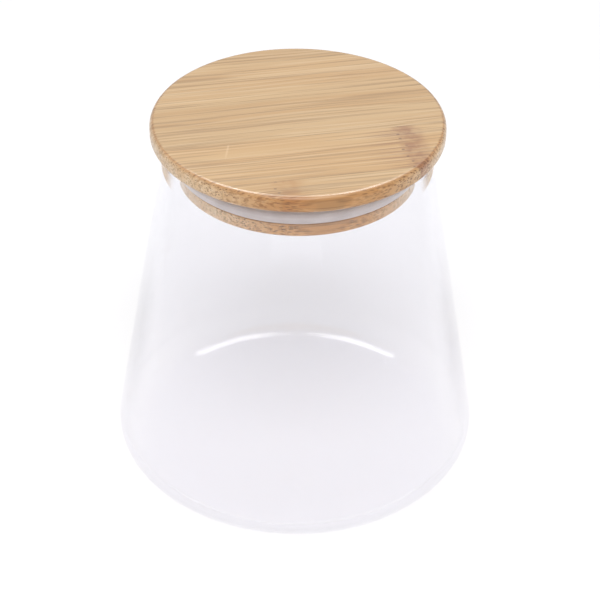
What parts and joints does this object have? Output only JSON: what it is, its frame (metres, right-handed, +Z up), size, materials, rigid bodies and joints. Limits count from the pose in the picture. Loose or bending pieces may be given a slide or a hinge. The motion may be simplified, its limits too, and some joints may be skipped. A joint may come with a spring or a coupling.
{
  "type": "lidded glass canister",
  "caption": "Tapered clear glass storage canister with a rounded heel and a push-in bamboo lid that seals with a silicone ring.",
  "frame": {"origin": "centre of the base, on the surface that the canister stands on", "axes": "+Z up along the canister's axis, +X along the grain of the lid's top ply"},
  "size_m": [0.13, 0.13, 0.135],
  "materials": {
    "glass": "clear, polished, with a faint cool tint",
    "silicone": "translucent white silicone, satin",
    "bamboo": "sanded flat-pressed bamboo, natural oil, satin"
  },
  "bodies": {
    "jar": {"glass_body": "glass"},
    "seal": {"seal_ring": "silicone"},
    "lid": {"lid_top_strip_1": "bamboo", "lid_top_strip_2": "bamboo", "lid_top_strip_3": "bamboo", "lid_top_strip_4": "bamboo", "lid_top_strip_5": "bamboo", "lid_core_strip_1": "bamboo", "lid_core_strip_2": "bamboo", "lid_core_strip_3": "bamboo", "lid_core_strip_4": "bamboo", "lid_plug_strip_1": "bamboo", "lid_plug_strip_2": "bamboo", "lid_plug_strip_3": "bamboo", "lid_plug_strip_4": "bamboo"}
  },
  "joints": [
    {"name": "lid_lift", "type": "slide", "parent": "jar", "child": "seal", "axis": [0, 0, 1], "range_m": [0, 0.1]},
    {"name": "lid_turn", "type": "hinge", "parent": "seal", "child": "lid", "pos_m": [0, 0, 0.12], "axis": [0, 0, 1], "continuous": true}
  ]
}
